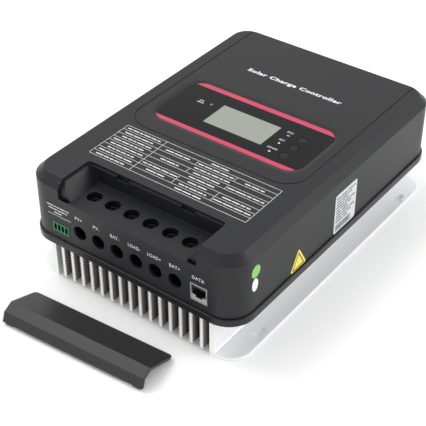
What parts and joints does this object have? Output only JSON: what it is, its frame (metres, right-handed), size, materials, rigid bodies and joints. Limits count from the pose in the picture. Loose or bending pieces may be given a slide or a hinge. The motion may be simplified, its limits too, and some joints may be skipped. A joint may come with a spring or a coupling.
{
  "type": "solar charge controller",
  "caption": "Wall-mounted solar charge controller: finned heat sink with keyhole flanges, moulded case with display, terminal recess and loose terminal cover.",
  "frame": {"origin": "centre of the four keyholes on the mounting plane of the flanges", "axes": "+X to the right seen from the display side, +Y away from the cable end, +Z out of the display"},
  "size_m": [0.2088, 0.3634, 0.0987],
  "materials": {
    "extrusion": "anodised, satin",
    "case_plastic": "fine moulded texture",
    "cover_plastic": "fine moulded texture",
    "lens": "gloss",
    "accent": "gloss",
    "lcd": "glass over a grey-green liquid crystal",
    "lcd_frame": "satin",
    "board": "solder mask",
    "screw_steel": "zinc plated",
    "switch_plastic": "moulded",
    "button_plastic": "satin",
    "led": "clear",
    "brass": "turned",
    "pad": "soft",
    "plate_steel": "plain",
    "ferrite": "coated",
    "copper": "enamelled copper",
    "capacitor_sleeve": "sleeved",
    "ribbon": "flat",
    "block_plastic": "moulded",
    "plated": "nickel plated",
    "gold": "gold plated",
    "header_green": "moulded",
    "label_white": "printed film",
    "label_yellow": "printed film",
    "label_green": "printed film"
  },
  "bodies": {
    "controller": {"heat_sink": "extrusion", "base_tray": "case_plastic", "top_cover": "case_plastic", "display_lens": "lens", "accent_strip_lower": "accent", "accent_strip_upper": "accent", "lcd_glass": "lcd", "lcd_module": "lcd_frame", "display_board": "board", "display_board_screws": "screw_steel", "tact_switches": "switch_plastic", "status_led": "led", "main_board": "board", "standoffs": "brass", "board_screws": "screw_steel", "power_devices": "switch_plastic", "thermal_pad": "pad", "device_clamp_bar": "plate_steel", "inductor_cores": "ferrite", "inductor_windings": "copper", "capacitors": "capacitor_sleeve", "ribbon_cable": "ribbon", "terminal_block": "block_plastic", "busbars": "copper", "port_shield": "plated", "port_insert": "switch_plastic", "port_contacts": "gold", "signal_header": "header_green", "header_pins": "plated", "case_screws": "screw_steel", "sink_screws": "screw_steel", "rating_label": "label_white", "hazard_sticker": "label_yellow", "check_stickers": "label_green"},
    "terminal_cover": {"terminal_cover": "cover_plastic"},
    "button_esc": {"button_esc": "button_plastic"},
    "button_set": {"button_set": "button_plastic"},
    "button_down": {"button_down": "button_plastic"},
    "terminal_screw_1": {"terminal_screw_1": "screw_steel"},
    "clamp_cage_1": {"clamp_cage_1": "plated"},
    "terminal_screw_2": {"terminal_screw_2": "screw_steel"},
    "clamp_cage_2": {"clamp_cage_2": "plated"},
    "terminal_screw_3": {"terminal_screw_3": "screw_steel"},
    "clamp_cage_3": {"clamp_cage_3": "plated"},
    "terminal_screw_4": {"terminal_screw_4": "screw_steel"},
    "clamp_cage_4": {"clamp_cage_4": "plated"},
    "terminal_screw_5": {"terminal_screw_5": "screw_steel"},
    "clamp_cage_5": {"clamp_cage_5": "plated"},
    "terminal_screw_6": {"terminal_screw_6": "screw_steel"},
    "clamp_cage_6": {"clamp_cage_6": "plated"}
  },
  "joints": [
    {"name": "terminal_cover_lift", "type": "slide", "parent": "controller", "child": "terminal_cover", "axis": [0, 0, 1], "range_m": [0, 0.12]},
    {"name": "button_esc_press", "type": "slide", "parent": "controller", "child": "button_esc", "axis": [0, 0, -1], "range_m": [0, 0.0005], "stiffness_N_per_m": 300},
    {"name": "button_set_press", "type": "slide", "parent": "controller", "child": "button_set", "axis": [0, 0, -1], "range_m": [0, 0.0005], "stiffness_N_per_m": 300},
    {"name": "button_down_press", "type": "slide", "parent": "controller", "child": "button_down", "axis": [0, 0, -1], "range_m": [0, 0.0005], "stiffness_N_per_m": 300},
    {"name": "terminal_screw_1_turn", "type": "hinge", "parent": "controller", "child": "terminal_screw_1", "pos_m": [-0.047, -0.1258, 0.07], "axis": [0, 0, -1], "range_deg": [0, 2162]},
    {"name": "clamp_cage_1_rise", "type": "slide", "parent": "controller", "child": "clamp_cage_1", "axis": [0, 0, 1], "range_m": [0, 0.006]},
    {"name": "terminal_screw_2_turn", "type": "hinge", "parent": "controller", "child": "terminal_screw_2", "pos_m": [-0.0282, -0.1258, 0.07], "axis": [0, 0, -1], "range_deg": [0, 2162]},
    {"name": "clamp_cage_2_rise", "type": "slide", "parent": "controller", "child": "clamp_cage_2", "axis": [0, 0, 1], "range_m": [0, 0.006]},
    {"name": "terminal_screw_3_turn", "type": "hinge", "parent": "controller", "child": "terminal_screw_3", "pos_m": [-0.0094, -0.1258, 0.07], "axis": [0, 0, -1], "range_deg": [0, 2162]},
    {"name": "clamp_cage_3_rise", "type": "slide", "parent": "controller", "child": "clamp_cage_3", "axis": [0, 0, 1], "range_m": [0, 0.006]},
    {"name": "terminal_screw_4_turn", "type": "hinge", "parent": "controller", "child": "terminal_screw_4", "pos_m": [0.0094, -0.1258, 0.07], "axis": [0, 0, -1], "range_deg": [0, 2162]},
    {"name": "clamp_cage_4_rise", "type": "slide", "parent": "controller", "child": "clamp_cage_4", "axis": [0, 0, 1], "range_m": [0, 0.006]},
    {"name": "terminal_screw_5_turn", "type": "hinge", "parent": "controller", "child": "terminal_screw_5", "pos_m": [0.0282, -0.1258, 0.07], "axis": [0, 0, -1], "range_deg": [0, 2162]},
    {"name": "clamp_cage_5_rise", "type": "slide", "parent": "controller", "child": "clamp_cage_5", "axis": [0, 0, 1], "range_m": [0, 0.006]},
    {"name": "terminal_screw_6_turn", "type": "hinge", "parent": "controller", "child": "terminal_screw_6", "pos_m": [0.047, -0.1258, 0.07], "axis": [0, 0, -1], "range_deg": [0, 2162]},
    {"name": "clamp_cage_6_rise", "type": "slide", "parent": "controller", "child": "clamp_cage_6", "axis": [0, 0, 1], "range_m": [0, 0.006]}
  ],
  "couplings": [
    {"joint": "terminal_screw_1_turn", "follows": "clamp_cage_1_rise", "rad_per_m": 6283.2},
    {"joint": "terminal_screw_2_turn", "follows": "clamp_cage_2_rise", "rad_per_m": 6283.2},
    {"joint": "terminal_screw_3_turn", "follows": "clamp_cage_3_rise", "rad_per_m": 6283.2},
    {"joint": "terminal_screw_4_turn", "follows": "clamp_cage_4_rise", "rad_per_m": 6283.2},
    {"joint": "terminal_screw_5_turn", "follows": "clamp_cage_5_rise", "rad_per_m": 6283.2},
    {"joint": "terminal_screw_6_turn", "follows": "clamp_cage_6_rise", "rad_per_m": 6283.2}
  ]
}
